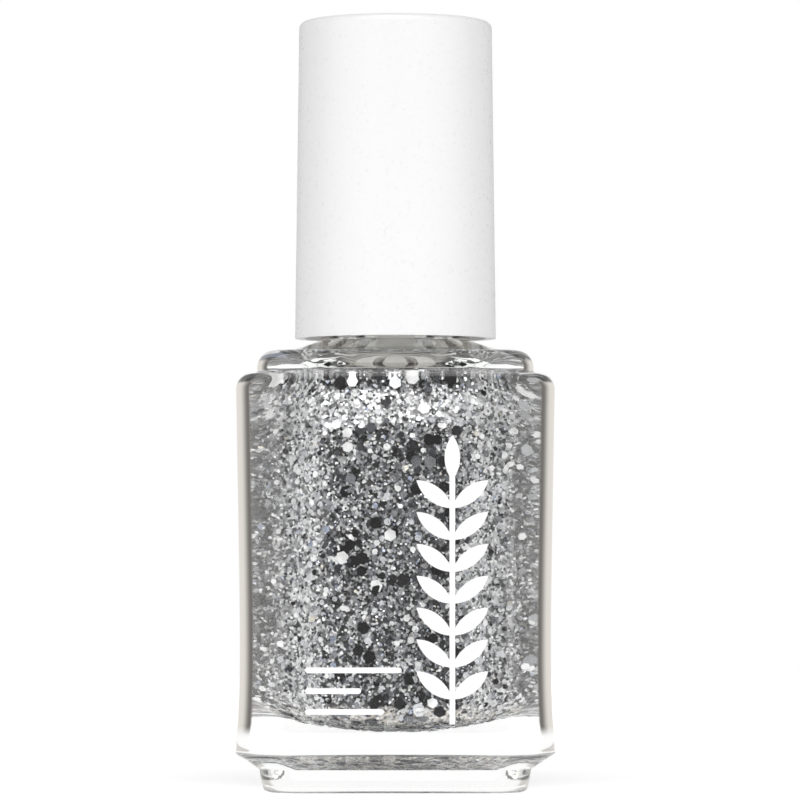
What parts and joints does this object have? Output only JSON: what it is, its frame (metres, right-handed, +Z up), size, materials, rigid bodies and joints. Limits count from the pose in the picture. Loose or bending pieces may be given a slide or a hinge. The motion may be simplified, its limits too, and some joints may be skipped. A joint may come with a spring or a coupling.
{
  "type": "nail polish bottle",
  "caption": "Square clear glass nail polish bottle with waisted walls and glitter lacquer, closed by a tall round screw cap that carries the brush.",
  "frame": {"origin": "middle of the foot's resting plane, on the bottle's axis", "axes": "+Z up along the bottle's axis, +X to the right across the printed front, -Y out of the printed front"},
  "size_m": [0.0312, 0.0312, 0.0762],
  "materials": {
    "clear_glass": "clear polished flint glass",
    "glitter_lacquer": "clear lacquer full of silver, white and charcoal hexagonal glitter",
    "steel_ball": "polished",
    "label_paper": "plain semi-gloss sticker",
    "white_ink": "fired white screen-print ink",
    "seal_foam": "soft matt",
    "stem_plastic": "smooth off-white moulding",
    "bristle_nylon": "fine nylon filaments",
    "staple_metal": "bright flat wire",
    "inner_cap_plastic": "moulded natural white",
    "white_cap_plastic": "smooth satin-gloss white"
  },
  "bodies": {
    "bottle": {"glass_bottle": "clear_glass", "lacquer": "glitter_lacquer", "mixing_balls": "steel_ball", "base_label": "label_paper", "printed_mark": "white_ink"},
    "seal": {"lip_seal": "seal_foam"},
    "brush": {"brush_stem": "stem_plastic", "bristles": "bristle_nylon", "tuft_anchor": "staple_metal"},
    "cap": {"inner_cap": "inner_cap_plastic", "overcap": "white_cap_plastic"}
  },
  "joints": [
    {"name": "brush_lift", "type": "slide", "parent": "bottle", "child": "seal", "axis": [0, 0, 1], "range_m": [0, 0.06]},
    {"name": "thread_rise", "type": "slide", "parent": "seal", "child": "brush", "axis": [0, 0, 1], "range_m": [0, 0.00266]},
    {"name": "cap_turn", "type": "hinge", "parent": "brush", "child": "cap", "pos_m": [0, 0, 0.0546], "axis": [0, 0, 1], "range_deg": [0, 450]}
  ],
  "couplings": [
    {"joint": "thread_rise", "follows": "cap_turn", "m_per_rad": 0.00033741}
  ]
}
